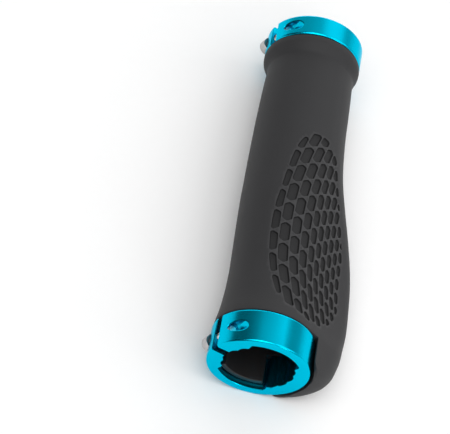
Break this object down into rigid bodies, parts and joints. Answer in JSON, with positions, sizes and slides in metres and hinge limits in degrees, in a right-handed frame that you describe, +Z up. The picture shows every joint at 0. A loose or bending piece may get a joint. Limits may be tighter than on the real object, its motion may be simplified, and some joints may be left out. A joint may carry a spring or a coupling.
{
  "type": "handlebar grip",
  "caption": "Lock-on handlebar grip: a rubber cover with a palm wing and honeycomb texture patches on a hard sleeve, held by a split clamp ring and pinch bolt at each end.",
  "frame": {"origin": "on the handlebar's axis, midway between the end faces of the two clamp rings", "axes": "+Y along the handlebar towards the rider's stem, the open end at -Y, +Z up as the grip lies on its rings and its wing, +X to the wing's side"},
  "size_m": [0.0459, 0.13, 0.033],
  "materials": {
    "cover_rubber": "matt moulded rubber, dark grey",
    "sleeve_nylon": "matt moulded nylon, near black",
    "ring_anodised": "cyan anodised, turned",
    "bolt_steel": "plated steel"
  },
  "bodies": {
    "root": {"grip_cover": "cover_rubber", "inner_sleeve": "sleeve_nylon", "outer_lock_ring": "ring_anodised", "inner_lock_ring": "ring_anodised", "outer_pinch_bolt": "bolt_steel", "inner_pinch_bolt": "bolt_steel"}
  },
  "joints": []
}
